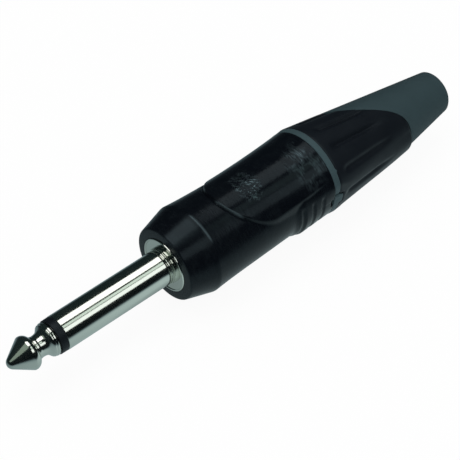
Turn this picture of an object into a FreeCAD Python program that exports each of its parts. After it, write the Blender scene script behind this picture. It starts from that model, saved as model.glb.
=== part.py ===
import FreeCAD, Part
import math
import os
import Sketcher

# A 6.35 mm mono jack plug. Lengths are millimetres and angles degrees.
# +X runs along the plug from the tip to the cable end, +Z is up, towards the middle of the raised panel.
# The origin lies on the plug's axis in the plane of the shell's front face.

SIZES = [
    # Shaft and tip
    ("shaft_radius", 3.175, "half of the 6.35 mm shaft"),
    ("shaft_reach", 32.4, "end of the tip to the shell's front face"),
    ("tip_length", 8.65, "end of the tip to its back face"),
    ("nose_depth", 0.52, "length of the tip's rounded nose"),
    ("nose_width", 0.962, "radius where the nose meets the cone"),
    ("crest_at", 3.88, "end of the tip to its widest ring"),
    ("crest_radius", 3.05, "radius of the widest ring"),
    ("crest_half", 0.31, "half length of the rounded crest"),
    ("crest_drop", 0.095, "fall of the crest to its two edges"),
    ("crest_round", 0.55, "radius of the crest's arc"),
    ("neck_at", 5.9, "end of the tip to the middle of the neck"),
    ("neck_radius", 2.0, "radius at the neck's two edges"),
    ("neck_half", 0.35, "half length of the neck's hollow arc"),
    ("neck_round", 1.1, "radius of the neck's hollow arc"),
    ("bell_at", 7.8, "end of the tip to the flange behind the neck"),
    ("bell_round", 3.0, "radius of the bell's hollow arc behind the neck"),
    ("tip_flange_radius", 3.0, "radius of the tip's back flange"),
    ("rod_radius", 1.1, "centre rod"),
    ("rod_grip_length", 3.2, "length of rod inside the tip"),
    ("rod_fit", 0.03, "clearance of what slides on the rod"),
    ("front_ring_width", 1.35, "black ring between tip and sleeve"),
    ("front_ring_radius", 3.02, "radius of that ring"),
    ("front_spigot", 1.5, "length of that ring's neck inside the sleeve"),
    ("sleeve_bore", 2.1, "bore of the sleeve"),
    ("bore_fit", 0.03, "clearance of what slides in the sleeve"),
    ("sleeve_chamfer", 0.15, "chamfer of the sleeve's front edge"),
    # Collar and flange
    ("collar_radius", 3.5, "collar at the shaft's root"),
    ("collar_length", 0.9, "length of the collar before the shell"),
    ("undercut_width", 0.2, "groove between shaft and collar"),
    ("undercut_depth", 0.18, "depth of that groove"),
    ("score_depth", 0.1, "depth of the fine grooves in the collar"),
    ("score_width", 0.12, "width of the fine grooves in the collar"),
    ("score_first", 0.62, "first fine groove, before the shell"),
    ("score_second", 0.36, "second fine groove, before the shell"),
    ("flange_radius", 5.09, "flange disc in the shell's front opening"),
    ("flange_proud", 0.15, "how far its rim stands before the shell"),
    ("flange_dish", 0.1, "depth of the disc inside its rim"),
    ("rim_width", 0.3, "width of the disc's rim"),
    ("rim_chamfer", 0.1, "chamfer outside the rim"),
    ("shoulder_length", 2.0, "shoulder behind the shell's front wall"),
    ("spigot_radius", 3.2, "sleeve behind the shoulder"),
    ("spigot_length", 2.8, "length of sleeve behind the shoulder"),
    # Shell
    ("opening_fit", 0.05, "clearance of the flange in the shell"),
    ("front_wall", 1.6, "thickness of the shell's front wall"),
    ("front_radius", 6.85, "radius of the shell's front face"),
    ("front_edge", 0.2, "chamfer of the front face's edge"),
    ("crease_at", 5.3, "front face to the crease of the nose cone"),
    ("crease_radius", 8.38, "radius at that crease"),
    ("grip_length", 8.57, "slimmest ring of the waist to the rear face"),
    ("waist_radius", 7.62, "radius there"),
    ("grip_rise", 0.9, "length of the slope from the waist to the ribs"),
    ("grip_radius", 8.2, "radius of the ribs"),
    ("shell_length", 31.97, "front face to the shell's rear face"),
    ("rib_first", 2.1, "slimmest ring to the first groove between ribs"),
    ("rib_pitch", 2.45, "pitch of those grooves"),
    ("rib_groove_round", 0.55, "radius of one groove's hollow arc"),
    ("rib_groove_depth", 0.32, "depth of one groove"),
    ("rib_top", 2.1, "height above the axis at which the grooves end beside the panel"),
    ("shell_bore", 6.35, "bore for the insert"),
    ("thread_bore", 6.75, "bore for the boot's thread"),
    ("thread_depth", 8.5, "depth of that bore from the rear face"),
    # Raised panel
    ("panel_front", 11.0, "front face to the panel's rounded front"),
    ("panel_half_width", 7.5, "half width of the panel"),
    ("panel_lead", 8.5, "panel's front to where its sides run straight"),
    ("panel_round", 6.9, "radius of the panel's front arc, less than its half width"),
    ("panel_root", 7.2, "radius inside the shell's wall where the panel starts"),
    ("panel_lift", 0.2, "centre of the crown above the axis, at the panel's front"),
    ("panel_tilt", 1.68, "fall of the crown's axis towards the rear, in degrees"),
    ("crown_front", 8.08, "radius of the crown at the panel's front"),
    ("crown_rear", 9.17, "radius of the crown at the ring"),
    ("crown_sweep", 232.0, "radius of the crown's hollow line along the plug"),
    ("panel_gap", 0.32, "width of the groove round the panel's front"),
    ("panel_gap_floor", 7.86, "radius of that groove's floor"),
    ("flare_from", 1.2, "slimmest ring to the start of the flare beside the panel"),
    ("flare_root", 8.0, "radius of the flare at its start, under the ribs"),
    ("side_half_width", 8.12, "half width of the flattened sides at the ring"),
    # Ring and boot
    ("ring_width", 1.23, "coding ring"),
    ("ring_fit", 0.05, "clearance of the ring on the boot's neck"),
    ("boot_radius", 8.9, "radius of the boot at the ring, on the panel's side"),
    ("boot_side_radius", 8.25, "radius of the boot at the ring, on the other side"),
    ("boot_side_taper", 0.084, "fall of that radius for each millimetre"),
    ("mouth_radius", 4.3, "outer radius at the cable mouth"),
    ("mouth_round", 0.3, "depth of the rounding of the cable mouth's rim"),
    ("mouth_arc", 0.32, "radius of that rounding"),
    ("cable_bore", 3.5, "bore for the cable"),
    ("neck_radius_boot", 6.6, "boot's neck, which carries its thread"),
    ("neck_length_boot", 8.2, "length of the neck before the ring"),
    ("chuck_room", 5.6, "bore of the boot around the chuck"),
    ("chuck_room_length", 1.6, "ring to where that bore starts to narrow"),
    ("squeeze_radius", 4.75, "bore of the boot at the chuck's tip"),
    ("core_length", 20.8, "ring to the end of the hard core"),
    ("gland_length", 11.95, "rubber behind the hard core, to the cable mouth"),
    ("core_end_radius", 5.0, "outer radius of the hard core's end"),
    ("core_cover", 1.3, "rubber over the hard core where it starts"),
    ("seam_near_past", 1.0, "seam on the viewer's side, behind the core's end"),
    ("seam_near_side", 7.0, "viewer's side point of the seam, off the axis"),
    ("seam_middle_before", 4.1, "seam's turning point, before the core's end"),
    ("seam_middle_side", 0.8, "that point, off the axis"),
    ("seam_far_before", 13.7, "seam on the far side, before the core's end"),
    ("seam_far_side", 8.6, "far side point of the seam, off the axis"),
    ("seam_near_round", 14.4, "radius of the seam's arc on the viewer's side"),
    ("seam_far_round", 38.7, "radius of the seam's arc on the far side"),
    ("flute_before", 11.0, "middle of the flutes, before the core's end"),
    ("flute_length", 19.6, "length of the tool that scoops a flute"),
    ("flute_width", 5.0, "width of that tool"),
    ("flute_height", 2.0, "height of that tool"),
    ("flute_depth", 0.28, "depth of a flute"),
    ("flute_slope", 6.4, "slope of a flute, in degrees"),
    ("flute_first", 9.0, "first flute from the top, towards the viewer, in degrees"),
    ("flute_count", 12, "flutes round the boot"),
    ("tab_angle", 97.0, "coding ring's tab from the top, towards the viewer, in degrees"),
    ("tab_width", 2.0, "width of the tab"),
    ("tab_length", 1.1, "length of the tab behind the ring"),
    ("tab_fit", 0.05, "clearance of the tab in the boot"),
    # Insert
    ("lug_thickness", 0.4, "sheet of the solder lugs"),
    ("lug_width", 3.0, "width of the solder tongues"),
    ("lug_hole", 0.6, "radius of the hole in a solder tongue"),
    ("sleeve_lug_radius", 3.0, "round eye of the sleeve's lug"),
    ("sleeve_lug_drop", 4.4, "sleeve lug's tongue below the axis"),
    ("sleeve_lug_gap", 4.0, "sleeve lug's tongue to the carrier's end"),
    ("tip_lug_radius", 2.5, "round eye of the tip's lug"),
    ("tip_lug_rise", 3.4, "tip lug's tongue above the axis"),
    ("tip_lug_gap", 5.2, "tip lug's tongue to the carrier's end"),
    ("spacer_width", 1.0, "insulating washer between the lugs"),
    ("spacer_radius", 2.9, "radius of that washer"),
    ("washer_width", 0.4, "washer under the rod's head"),
    ("washer_radius", 2.0, "radius of that washer"),
    ("rod_head_length", 0.8, "head of the rod"),
    ("rod_head_radius", 1.8, "radius of that head"),
    ("carrier_radius", 5.9, "outside of the insert carrier"),
    ("carrier_room", 5.1, "inside of the insert carrier"),
    ("carrier_wall", 2.4, "thickness of its front ring"),
    ("carrier_setback", 3.77, "carrier's end before the front of the boot's neck"),
    ("carrier_hoop", 2.0, "closed hoop at the carrier's end"),
    ("carrier_fit", 0.05, "clearance of the carrier on the sleeve"),
    ("window_start", 2.0, "front ring of the carrier to its solder window"),
    ("window_floor", 0.5, "window's floor below the axis"),
    ("liner_wall", 0.35, "wall of the insulating liner"),
    ("liner_fit", 0.03, "clearance of the liner in the shell"),
    # Chuck
    ("chuck_flange_radius", 6.2, "front flange of the chuck"),
    ("chuck_flange_length", 2.0, "length of that flange"),
    ("chuck_radius", 5.4, "outside of the chuck's fingers"),
    ("chuck_reach", 10.0, "ring to the end of the fingers"),
    ("chuck_end_radius", 4.55, "outside of the fingers' ends"),
    ("chuck_taper", 8.7, "length of the fingers' taper"),
    ("chuck_bore", 3.55, "bore of the chuck"),
    ("tooth_height", 0.3, "height of the chuck's teeth"),
    ("tooth_pitch", 1.4, "pitch of the teeth"),
    ("slot_width", 1.0, "slots between the fingers"),
    ("slot_start", 6.0, "chuck's front face to the start of the slots"),
    # Tools
    ("tool_margin", 3.0, "how far a cutting tool reaches past what it cuts"),
]
RIB_GROOVES = 3
CHUCK_TEETH = 3


class Size:
    """A length together with the spreadsheet expression that gives it."""

    def __init__(self, value, text):
        self.value = value
        self.text = text

    def __add__(self, other):
        return joined(self, "+", other, self.value + number(other))

    def __radd__(self, other):
        return joined(other, "+", self, number(other) + self.value)

    def __sub__(self, other):
        return joined(self, "-", other, self.value - number(other))

    def __rsub__(self, other):
        return joined(other, "-", self, number(other) - self.value)

    def __mul__(self, other):
        return joined(self, "*", other, self.value * number(other))

    def __rmul__(self, other):
        return joined(other, "*", self, number(other) * self.value)

    def __truediv__(self, other):
        return joined(self, "/", other, self.value / number(other))

    def __neg__(self):
        return Size(-self.value, "(-" + self.text + ")")


def number(length):
    return length.value if isinstance(length, Size) else length


def wording(length):
    return length.text if isinstance(length, Size) else str(length)


def joined(first, sign, second, value):
    return Size(value, "(" + wording(first) + " " + sign + " " + wording(second) + ")")


document = FreeCAD.newDocument("mono_jack_plug")
sheet = document.addObject("Spreadsheet::Sheet", "Sizes")
for line, (alias, value, note) in enumerate(SIZES, start=1):
    sheet.set("A%d" % line, alias)
    sheet.set("B%d" % line, str(value))
    sheet.set("C%d" % line, note)
    sheet.setAlias("B%d" % line, alias)
document.recompute()


def size(alias):
    return Size(float(sheet.get(alias)), "Sizes." + alias)


def plane_of(body, role):
    for feature in body.Origin.OriginFeatures:
        if feature.Role == role:
            return feature
    raise RuntimeError("no plane " + role)


def arc_between(start, end, radius, side):
    """The arc from start to end that turns to the given side: 1 bulges left of the way, -1 right."""
    along = end - start
    half = along.Length / 2
    rise = math.sqrt(max(radius * radius - half * half, 0))
    left = FreeCAD.Vector(-along.y, along.x, 0).normalize()
    centre = start + along / 2 - left * rise * side
    first, last = (end, start) if side > 0 else (start, end)
    first_angle = math.atan2(first.y - centre.y, first.x - centre.x)
    last_angle = math.atan2(last.y - centre.y, last.x - centre.x)
    if last_angle < first_angle:
        last_angle += 2 * math.pi
    circle = Part.Circle(centre, FreeCAD.Vector(0, 0, 1), radius)
    return Part.ArcOfCircle(circle, first_angle, last_angle), side > 0


def hold(sketch, geometry, vertex, length, axis_kind, cross_line, name):
    """Ties one coordinate of a sketch's corner to its size; a plain 0 puts it on the sketch's axis."""
    if isinstance(length, Size):
        index = sketch.addConstraint(Sketcher.Constraint(axis_kind, -1, 1, geometry, vertex, length.value))
        sketch.renameConstraint(index, name)
        sketch.setExpression("Constraints." + name, length.text)
    else:
        sketch.addConstraint(Sketcher.Constraint("PointOnObject", geometry, vertex, cross_line))


def dome_radius(start, end):
    """Radius of the ball that a turned nose is part of, from its pole to its edge."""
    depth, width = end.x - start.x, end.y - start.y
    return (depth * depth + width * width) / (2 * depth)


def outline(body, name, plane, corners):
    """A closed sketch. A corner is (across, up), or (across, up, radius, side) where an arc leaves it,
    or (across, up, "dome", side) for an arc with its centre on the sketch's level axis."""
    sketch = body.newObject("Sketcher::SketchObject", name)
    sketch.AttachmentSupport = [(plane_of(body, plane), "")]
    sketch.MapMode = "FlatFace"
    spots = [FreeCAD.Vector(number(corner[0]), number(corner[1]), 0) for corner in corners]
    ends = []
    for index, corner in enumerate(corners):
        start, end = spots[index], spots[(index + 1) % len(spots)]
        if len(corner) == 2:
            sketch.addGeometry(Part.LineSegment(start, end))
            ends.append((1, 2))
        else:
            radius = dome_radius(start, end) if corner[2] == "dome" else number(corner[2])
            arc, swapped = arc_between(start, end, radius, corner[3])
            sketch.addGeometry(arc)
            ends.append((2, 1) if swapped else (1, 2))
    for index, corner in enumerate(corners):
        following = (index + 1) % len(corners)
        last, first = ends[index][1], ends[following][0]
        sketch.addConstraint(Sketcher.Constraint("Coincident", index, last, following, first))
    for index, corner in enumerate(corners):
        hold(sketch, index, ends[index][0], corner[0], "DistanceX", -2, "across%d" % index)
        hold(sketch, index, ends[index][0], corner[1], "DistanceY", -1, "up%d" % index)
        if len(corner) > 2 and corner[2] == "dome":
            sketch.addConstraint(Sketcher.Constraint("PointOnObject", index, 3, -1))
        elif len(corner) > 2:
            radius = sketch.addConstraint(Sketcher.Constraint("Radius", index, corner[2].value))
            sketch.renameConstraint(radius, "radius%d" % index)
            sketch.setExpression("Constraints.radius%d" % index, corner[2].text)
    document.recompute()
    return sketch


def new_body(label):
    body = document.addObject("PartDesign::Body", label.replace(" ", "_"))
    body.Label = label
    return body


def turned(label, corners):
    """A body turned about the plug's axis from its half section, given as (along, radius) corners."""
    body = new_body(label)
    sketch = outline(body, label.replace(" ", "_") + "_section", "XZ_Plane", corners)
    turning = body.newObject("PartDesign::Revolution", label.replace(" ", "_") + "_turning")
    turning.Profile = sketch
    turning.ReferenceAxis = (sketch, ["H_Axis"])
    turning.Angle = 360
    document.recompute()
    return body


def pad_up(body, sketch, height, both_ways=False):
    pad = body.newObject("PartDesign::Pad", sketch.Name + "_pad")
    pad.Profile = sketch
    pad.Length = height.value
    pad.setExpression("Length", height.text)
    if both_ways:
        pad.SideType = "Symmetric"
    document.recompute()
    return pad


def prism(label, corners, height, both_ways=False):
    """A body padded straight up from an outline in the plan view, given as (along, across) corners."""
    body = new_body(label)
    sketch = outline(body, label.replace(" ", "_") + "_plan", "XY_Plane", corners)
    pad_up(body, sketch, height, both_ways)
    return body


def cut_through(body, name, plane, corners, length):
    """Cuts an outline through a body, as far to each side of its plane."""
    sketch = outline(body, name, plane, corners)
    before = body.Shape.Volume
    pocket = body.newObject("PartDesign::Pocket", name + "_pocket")
    pocket.Profile = sketch
    pocket.Length = length.value
    pocket.setExpression("Length", length.text)
    pocket.SideType = "Symmetric"
    document.recompute()
    if body.Shape.Volume >= before:
        raise RuntimeError(name + " cuts nothing")
    return pocket


def rectangle(left, right, low, high):
    return [(left, low), (right, low), (right, high), (left, high)]


def common(label, first, second):
    result = document.addObject("Part::Common", label.replace(" ", "_"))
    result.Base = first
    result.Tool = second
    result.Label = label
    document.recompute()
    return result


def cut(label, base, tool):
    result = document.addObject("Part::Cut", label.replace(" ", "_"))
    result.Base = base
    result.Tool = tool
    result.Label = label
    document.recompute()
    return result


def fused(label, pieces):
    result = document.addObject("Part::MultiFuse", label.replace(" ", "_"))
    result.Shapes = pieces
    result.Refine = True
    result.Label = label
    document.recompute()
    return result


def cone_along(label, start, length, first_radius, last_radius):
    """A cone on the plug's axis, from its start towards the cable end."""
    cone = document.addObject("Part::Cone", label.replace(" ", "_"))
    cone.Label = label
    for name, value in (("Radius1", first_radius), ("Radius2", last_radius), ("Height", length)):
        cone.setExpression(name, wording(value))
    cone.Placement = FreeCAD.Placement(FreeCAD.Vector(), FreeCAD.Rotation(FreeCAD.Vector(0, 1, 0), 90))
    cone.setExpression("Placement.Base.x", wording(start))
    document.recompute()
    return cone


def cylinder_along(label, start, length, radius):
    """A cylinder on the plug's axis, from its start towards the cable end."""
    cylinder = document.addObject("Part::Cylinder", label.replace(" ", "_"))
    cylinder.Label = label
    cylinder.setExpression("Radius", radius.text)
    cylinder.setExpression("Height", length.text)
    cylinder.Placement = FreeCAD.Placement(FreeCAD.Vector(), FreeCAD.Rotation(FreeCAD.Vector(0, 1, 0), 90))
    cylinder.setExpression("Placement.Base.x", wording(start))
    document.recompute()
    return cylinder


# Stations along the plug
tip_end = -size("shaft_reach")
tip_back = tip_end + size("tip_length")
sleeve_front = tip_back + size("front_ring_width")
spigot_end = sleeve_front + size("front_spigot")
flange_face = -size("flange_proud")
shoulder_end = size("front_wall") + size("shoulder_length")
sleeve_end = shoulder_end + size("spigot_length")
sleeve_lug_end = sleeve_end + size("lug_thickness")
spacer_end = sleeve_lug_end + size("spacer_width")
tip_lug_end = spacer_end + size("lug_thickness")
washer_end = tip_lug_end + size("washer_width")
rod_end = washer_end + size("rod_head_length")
ring_end = size("shell_length") + size("ring_width")
neck_front = size("shell_length") - size("neck_length_boot")
carrier_end = neck_front - size("carrier_setback")
waist = size("shell_length") - size("grip_length")
flank_start = size("panel_front") + size("panel_lead")
flare_start = waist + size("flare_from")
core_end = ring_end + size("core_length")
boot_end = core_end + size("gland_length")
seam_near = core_end + size("seam_near_past")
seam_middle = core_end - size("seam_middle_before")
seam_far = core_end - size("seam_far_before")
chuck_end = ring_end + size("chuck_reach")
rod_hole = size("rod_radius") + size("rod_fit")
bore_filler = size("sleeve_bore") - size("bore_fit")


def make_tip():
    """Nose, cone, crest, neck, bell and flange, with a blind bore for the rod from behind."""
    crest, neck = tip_end + size("crest_at"), tip_end + size("neck_at")
    crest_edge = size("crest_radius") - size("crest_drop")
    bore_end = tip_back - size("rod_grip_length") - size("rod_fit")
    return turned("tip", [
        (tip_end, 0, "dome", 1),
        (tip_end + size("nose_depth"), size("nose_width")),
        (crest - size("crest_half"), crest_edge, size("crest_round"), 1),
        (crest + size("crest_half"), crest_edge),
        (neck - size("neck_half"), size("neck_radius"), size("neck_round"), -1),
        (neck + size("neck_half"), size("neck_radius"), size("bell_round"), -1),
        (tip_end + size("bell_at"), size("tip_flange_radius")),
        (tip_back, size("tip_flange_radius")),
        (tip_back, rod_hole),
        (bore_end, rod_hole),
        (bore_end, 0),
    ])


def make_tip_rod():
    """The centre rod, screwed into the tip in front and headed behind the lugs."""
    front = tip_back - size("rod_grip_length")
    return turned("tip_rod", [
        (front, 0),
        (front, size("rod_radius")),
        (washer_end, size("rod_radius")),
        (washer_end, size("rod_head_radius")),
        (rod_end, size("rod_head_radius")),
        (rod_end, 0),
    ])


def make_tip_insulator():
    """The black ring between tip and sleeve, with its neck inside the sleeve."""
    return turned("tip_insulator", [
        (tip_back, rod_hole),
        (tip_back, size("front_ring_radius")),
        (sleeve_front, size("front_ring_radius")),
        (sleeve_front, bore_filler),
        (spigot_end, bore_filler),
        (spigot_end, rod_hole),
    ])


def make_rod_insulator():
    """The tube that keeps the rod off the sleeve and its lug."""
    return turned("rod_insulator", [
        (spigot_end, rod_hole),
        (spigot_end, bore_filler),
        (sleeve_lug_end, bore_filler),
        (sleeve_lug_end, rod_hole),
    ])


def score(at):
    """One fine groove in the collar, as section corners from front to back."""
    half = size("score_width") / 2
    floor = size("collar_radius") - size("score_depth")
    return [
        (at - half, size("collar_radius")),
        (at - half, floor),
        (at + half, floor),
        (at + half, size("collar_radius")),
    ]


def make_sleeve():
    """Shaft, undercut, collar with two fine grooves, flange disc, shoulder and rear spigot."""
    shaft, chamfer = size("shaft_radius"), size("sleeve_chamfer")
    collar_front = -size("collar_length")
    undercut_floor = shaft - size("undercut_depth")
    dish_face = flange_face + size("flange_dish")
    rim_outer = size("flange_radius") - size("rim_chamfer")
    corners = [
        (sleeve_front, size("sleeve_bore")),
        (sleeve_front, shaft - chamfer),
        (sleeve_front + chamfer, shaft),
        (collar_front - size("undercut_width"), shaft),
        (collar_front - size("undercut_width"), undercut_floor),
        (collar_front, undercut_floor),
        (collar_front, size("collar_radius")),
    ]
    corners += score(-size("score_first"))
    corners += score(-size("score_second"))
    corners += [
        (dish_face, size("collar_radius")),
        (dish_face, rim_outer - size("rim_width")),
        (flange_face, rim_outer - size("rim_width")),
        (flange_face, rim_outer),
        (flange_face + size("rim_chamfer"), size("flange_radius")),
        (size("front_wall"), size("flange_radius")),
        (size("front_wall"), size("shell_bore") - size("opening_fit")),
        (shoulder_end, size("shell_bore") - size("opening_fit")),
        (shoulder_end, size("spigot_radius")),
        (sleeve_end, size("spigot_radius")),
        (sleeve_end, size("sleeve_bore")),
    ]
    return turned("sleeve", corners)


def make_lug(label, front, eye_radius, hole_radius, tongue_side, tongue_height, reach):
    """A flat eye on the rod and a tongue that is bent back along the plug, with a hole for the wire."""
    thickness, half = size("lug_thickness"), size("lug_width") / 2
    eye = turned(label + " eye", [
        (front, hole_radius),
        (front, eye_radius),
        (front + thickness, eye_radius),
        (front + thickness, hole_radius),
    ])
    far, near = tongue_height, tongue_height - thickness
    inner = eye_radius - thickness
    side = new_body(label + " bend")
    if tongue_side > 0:
        profile = [(front, inner), (front + thickness, inner), (front + thickness, near),
                   (front + reach, near), (front + reach, far), (front, far)]
    else:
        profile = [(front, -inner), (front, -far), (front + reach, -far),
                   (front + reach, -near), (front + thickness, -near), (front + thickness, -inner)]
    sketch = outline(side, side.Name + "_section", "XZ_Plane", profile)
    pad_up(side, sketch, half * 2, both_ways=True)
    hole_at = front + reach - half
    hole = size("lug_hole")
    corners = rectangle(hole_at - hole, hole_at + hole, -hole, hole)
    cut_through(side, side.Name + "_hole", "XY_Plane", corners, (far + size("tool_margin")) * 2)
    return fused(label, [eye, side])


def make_terminal_spacer():
    return turned("terminal_spacer", [
        (sleeve_lug_end, rod_hole),
        (sleeve_lug_end, size("spacer_radius")),
        (spacer_end, size("spacer_radius")),
        (spacer_end, rod_hole),
    ])


def make_rod_washer():
    return turned("rod_washer", [
        (tip_lug_end, rod_hole),
        (tip_lug_end, size("washer_radius")),
        (washer_end, size("washer_radius")),
        (washer_end, rod_hole),
    ])


def make_insert_carrier():
    """A cup behind the sleeve's shoulder, open on top for soldering, with a closed hoop at its end."""
    front_ring_end = shoulder_end + size("carrier_wall")
    body = turned("insert_carrier", [
        (shoulder_end, size("spigot_radius") + size("carrier_fit")),
        (shoulder_end, size("carrier_radius")),
        (carrier_end, size("carrier_radius")),
        (carrier_end, size("carrier_room")),
        (front_ring_end, size("carrier_room")),
        (front_ring_end, size("spigot_radius") + size("carrier_fit")),
    ])
    window_end = carrier_end - size("carrier_hoop")
    corners = rectangle(front_ring_end + size("window_start"), window_end,
                        -size("window_floor"), size("carrier_radius") + size("liner_wall"))
    reach = (size("carrier_radius") + size("tool_margin")) * 2
    cut_through(body, "insert_carrier_window", "XZ_Plane", corners, reach)
    return body


def make_insulating_liner():
    outer = size("shell_bore") - size("liner_fit")
    return turned("insulating_liner", [
        (shoulder_end, outer - size("liner_wall")),
        (shoulder_end, outer),
        (carrier_end, outer),
        (carrier_end, outer - size("liner_wall")),
    ])


def make_rib_tools():
    """Round tools for the grooves between the finger ribs, which run under the shell from side to side."""
    ring_radius = size("grip_radius") - size("rib_groove_depth") + size("rib_groove_round")
    rings = []
    for index in range(RIB_GROOVES):
        ring = document.addObject("Part::Torus", "rib_ring_%d" % (index + 1))
        ring.Label = "rib ring %d" % (index + 1)
        ring.Placement = FreeCAD.Placement(FreeCAD.Vector(), FreeCAD.Rotation(FreeCAD.Vector(0, 1, 0), 90))
        ring.setExpression("Placement.Base.x", (waist + size("rib_first") + size("rib_pitch") * index).text)
        ring.setExpression("Radius1", ring_radius.text)
        ring.setExpression("Radius2", size("rib_groove_round").text)
        rings.append(ring)
    document.recompute()
    reach = size("grip_radius") + size("tool_margin")
    below = prism("rib limit", rectangle(waist, ring_end, -reach, reach), reach * 2)
    below.setExpression("Placement.Base.z", (size("rib_top") - reach * 2).text)
    document.recompute()
    return common("rib tools", fused("rib rings", rings), below)


def make_barrel():
    """The shell's turned form: nose cone, waist, finger ribs and the stepped bore."""
    opening = size("flange_radius") + size("opening_fit")
    corners = [
        (0, opening),
        (0, size("front_radius") - size("front_edge")),
        (size("front_edge"), size("front_radius")),
        (size("crease_at"), size("crease_radius")),
        (waist, size("waist_radius")),
        (waist + size("grip_rise"), size("grip_radius")),
        (size("shell_length"), size("grip_radius")),
        (size("shell_length"), size("thread_bore")),
        (size("shell_length") - size("thread_depth"), size("thread_bore")),
        (size("shell_length") - size("thread_depth"), size("shell_bore")),
        (size("front_wall"), size("shell_bore")),
        (size("front_wall"), opening),
    ]
    return turned("shell barrel", corners)


def panel_plan(label, growth, rear):
    """A block over the panel's plan view: a round front of three arcs that run into straight sides."""
    body = new_body(label)
    sketch = body.newObject("Sketcher::SketchObject", label.replace(" ", "_") + "_plan")
    sketch.AttachmentSupport = [(plane_of(body, "XY_Plane"), "")]
    sketch.MapMode = "FlatFace"
    half, flank = size("panel_half_width") + growth, flank_start
    front, front_radius = size("panel_front") - growth, size("panel_round") + growth
    middle = front + front_radius
    lead = flank.value - middle.value
    square = lead ** 2 + half.value ** 2 - front_radius.value ** 2
    flank_radius = square / (2 * (half.value - front_radius.value))
    spread = math.atan2(flank_radius - half.value, -lead)
    joint = FreeCAD.Vector(math.cos(spread), math.sin(spread), 0) * front_radius.value
    joint.x += middle.value
    mirrored = FreeCAD.Vector(joint.x, -joint.y, 0)
    high = FreeCAD.Vector(flank.value, half.value, 0)
    low = FreeCAD.Vector(flank.value, -half.value, 0)
    high_rear = FreeCAD.Vector(rear.value, half.value, 0)
    low_rear = FreeCAD.Vector(rear.value, -half.value, 0)
    circle = Part.Circle(FreeCAD.Vector(middle.value, 0, 0), FreeCAD.Vector(0, 0, 1), front_radius.value)
    nose = sketch.addGeometry(Part.ArcOfCircle(circle, spread, 2 * math.pi - spread))
    upper = sketch.addGeometry(arc_between(high, joint, flank_radius, -1)[0])
    lower = sketch.addGeometry(arc_between(mirrored, low, flank_radius, -1)[0])
    top = sketch.addGeometry(Part.LineSegment(high_rear, high))
    bottom = sketch.addGeometry(Part.LineSegment(low, low_rear))
    back = sketch.addGeometry(Part.LineSegment(low_rear, high_rear))
    for first, first_end, second, second_end in (
            (top, 2, upper, 1), (upper, 2, nose, 1), (nose, 2, lower, 1), (lower, 2, bottom, 1)):
        sketch.addConstraint(Sketcher.Constraint("Tangent", first, first_end, second, second_end))
    sketch.addConstraint(Sketcher.Constraint("Coincident", bottom, 2, back, 1))
    sketch.addConstraint(Sketcher.Constraint("Coincident", back, 2, top, 1))
    sketch.addConstraint(Sketcher.Constraint("Horizontal", top))
    sketch.addConstraint(Sketcher.Constraint("Horizontal", bottom))
    sketch.addConstraint(Sketcher.Constraint("PointOnObject", nose, 3, -1))
    rules = (("Radius", (nose,), front_radius, "front_radius"),
             ("DistanceX", (-1, 1, nose, 3), middle, "front_middle"),
             ("DistanceX", (-1, 1, top, 2), flank, "upper_flank"),
             ("DistanceX", (-1, 1, bottom, 1), flank, "lower_flank"),
             ("DistanceY", (-1, 1, top, 2), half, "upper_half"),
             ("DistanceY", (-1, 1, bottom, 1), -half, "lower_half"),
             ("DistanceX", (-1, 1, back, 1), rear, "lower_rear"),
             ("DistanceX", (-1, 1, back, 2), rear, "upper_rear"))
    for kind, places, length, name in rules:
        index = sketch.addConstraint(Sketcher.Constraint(kind, *places, length.value))
        sketch.renameConstraint(index, name)
        sketch.setExpression("Constraints." + name, length.text)
    document.recompute()
    pad_up(body, sketch, size("crown_rear") + size("tool_margin"))
    return body


def make_crown():
    """The panel's top surface: a shallow barrel about an axis that falls towards the rear."""
    reach = ring_end - size("panel_front") + size("panel_gap")
    body = turned("panel crown", [
        (0, 0),
        (0, size("crown_front"), size("crown_sweep"), -1),
        (reach, size("crown_rear")),
        (reach, 0),
    ])
    body.Placement = FreeCAD.Placement(FreeCAD.Vector(), FreeCAD.Rotation(FreeCAD.Vector(0, 1, 0), 1))
    body.setExpression("Placement.Base.x", (size("panel_front") - size("panel_gap")).text)
    body.setExpression("Placement.Base.z", size("panel_lift").text)
    body.setExpression("Placement.Rotation.Angle", size("panel_tilt").text)
    document.recompute()
    return body


def make_upper_form():
    """What stands above the turned barrel of the shell and ring: the panel and its flared sides."""
    panel = common("panel solid", panel_plan("panel block", 0, ring_end), make_crown())
    flare_cone = cone_along("flare cone", flare_start, ring_end - flare_start,
                            size("flare_root"), size("boot_radius"))
    half = size("side_half_width")
    sides = prism("flare sides", rectangle(flare_start, ring_end, -half, half),
                  size("crown_rear") + size("tool_margin"))
    flare = common("flare solid", flare_cone, sides)
    solid = fused("upper solid", [panel, flare])
    root = cylinder_along("upper root", waist - ring_end, ring_end * 2, size("panel_root"))
    return cut("upper form", solid, root)


def make_shell(barrel, upper):
    """The die-cast shell: barrel, groove round the panel's front, panel, flared sides and rib grooves."""
    channel_block = panel_plan("channel block", size("panel_gap"), waist)
    channel_floor = cylinder_along("channel floor", 0, ring_end, size("panel_gap_floor"))
    channel = cut("panel channel", channel_block, channel_floor)
    grooved = cut("grooved barrel", barrel, channel)
    span = cylinder_along("shell span", 0, size("shell_length"), size("crown_rear") + size("tool_margin"))
    kept = common("shell upper form", upper, span)
    plain = fused("shell plain", [grooved, kept])
    return cut("shell", plain, make_rib_tools())


def boot_side_at(place):
    """Radius of the boot's far side at a place along the plug."""
    return size("boot_side_radius") - (place - ring_end) * size("boot_side_taper")


def boot_top_at(place):
    """Radius of the boot's panel side, and of its rubber, at a place along the plug."""
    fall = (size("boot_radius") - size("mouth_radius")) / (boot_end - ring_end)
    return size("boot_radius") - (place - ring_end) * fall


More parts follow.
